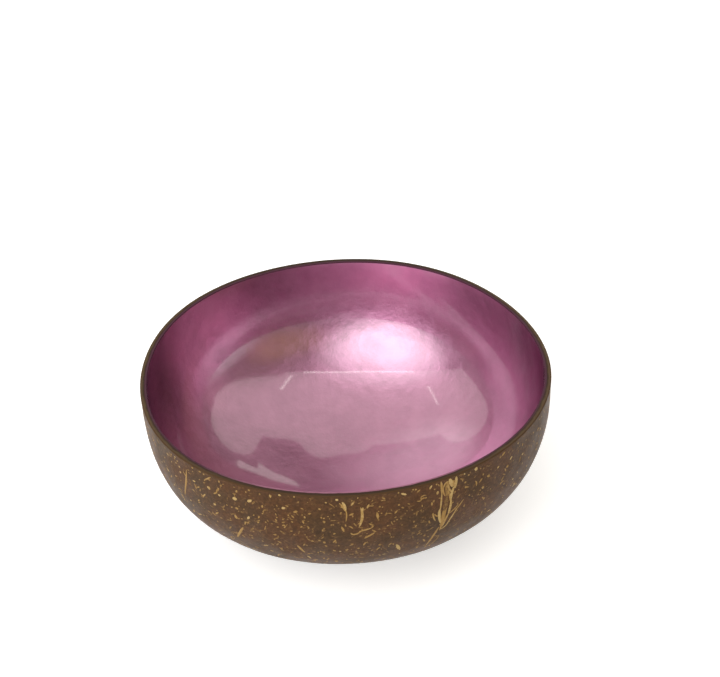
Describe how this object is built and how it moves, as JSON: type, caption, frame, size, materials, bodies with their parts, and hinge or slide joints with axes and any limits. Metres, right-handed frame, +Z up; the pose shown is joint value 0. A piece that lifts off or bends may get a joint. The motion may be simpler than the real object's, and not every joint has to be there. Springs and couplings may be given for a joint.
{
  "type": "coconut shell bowl",
  "caption": "Small round bowl made from half a coconut shell, sanded brown with coir flecks outside, lacquered glossy metallic pink inside.",
  "frame": {"origin": "middle of the sanded foot, on the face the bowl rests on", "axes": "+Z up along the bowl's axis, -Y towards the side the picture shows as the front, +X to the right"},
  "size_m": [0.1295, 0.1295, 0.052],
  "materials": {
    "shell": "sanded and sealed with a thin satin varnish, brown with darker mottling",
    "rim_sealer": "satin near-black sealer on the sawn edge",
    "ground_lacquer": "dark flat ground coat",
    "pink_lacquer": "metallic pink lacquer with a fine flake",
    "clear_lacquer": "clear high gloss lacquer",
    "coir": "pale gold plant fibre, sanded flush"
  },
  "bodies": {
    "root": {"coconut_shell": "shell", "rim_seal": "rim_sealer", "ground_coat": "ground_lacquer", "colour_coat": "pink_lacquer", "clear_coat": "clear_lacquer", "front_seam_fibres": "coir", "front_branch_fibre": "coir", "middle_long_fibre": "coir", "middle_short_fibre": "coir", "lower_middle_fibre": "coir", "lower_left_fibre": "coir", "left_lower_fibre": "coir", "left_side_fibre": "coir", "back_right_seam_fibres": "coir", "back_left_seam_fibres": "coir"}
  },
  "joints": []
}
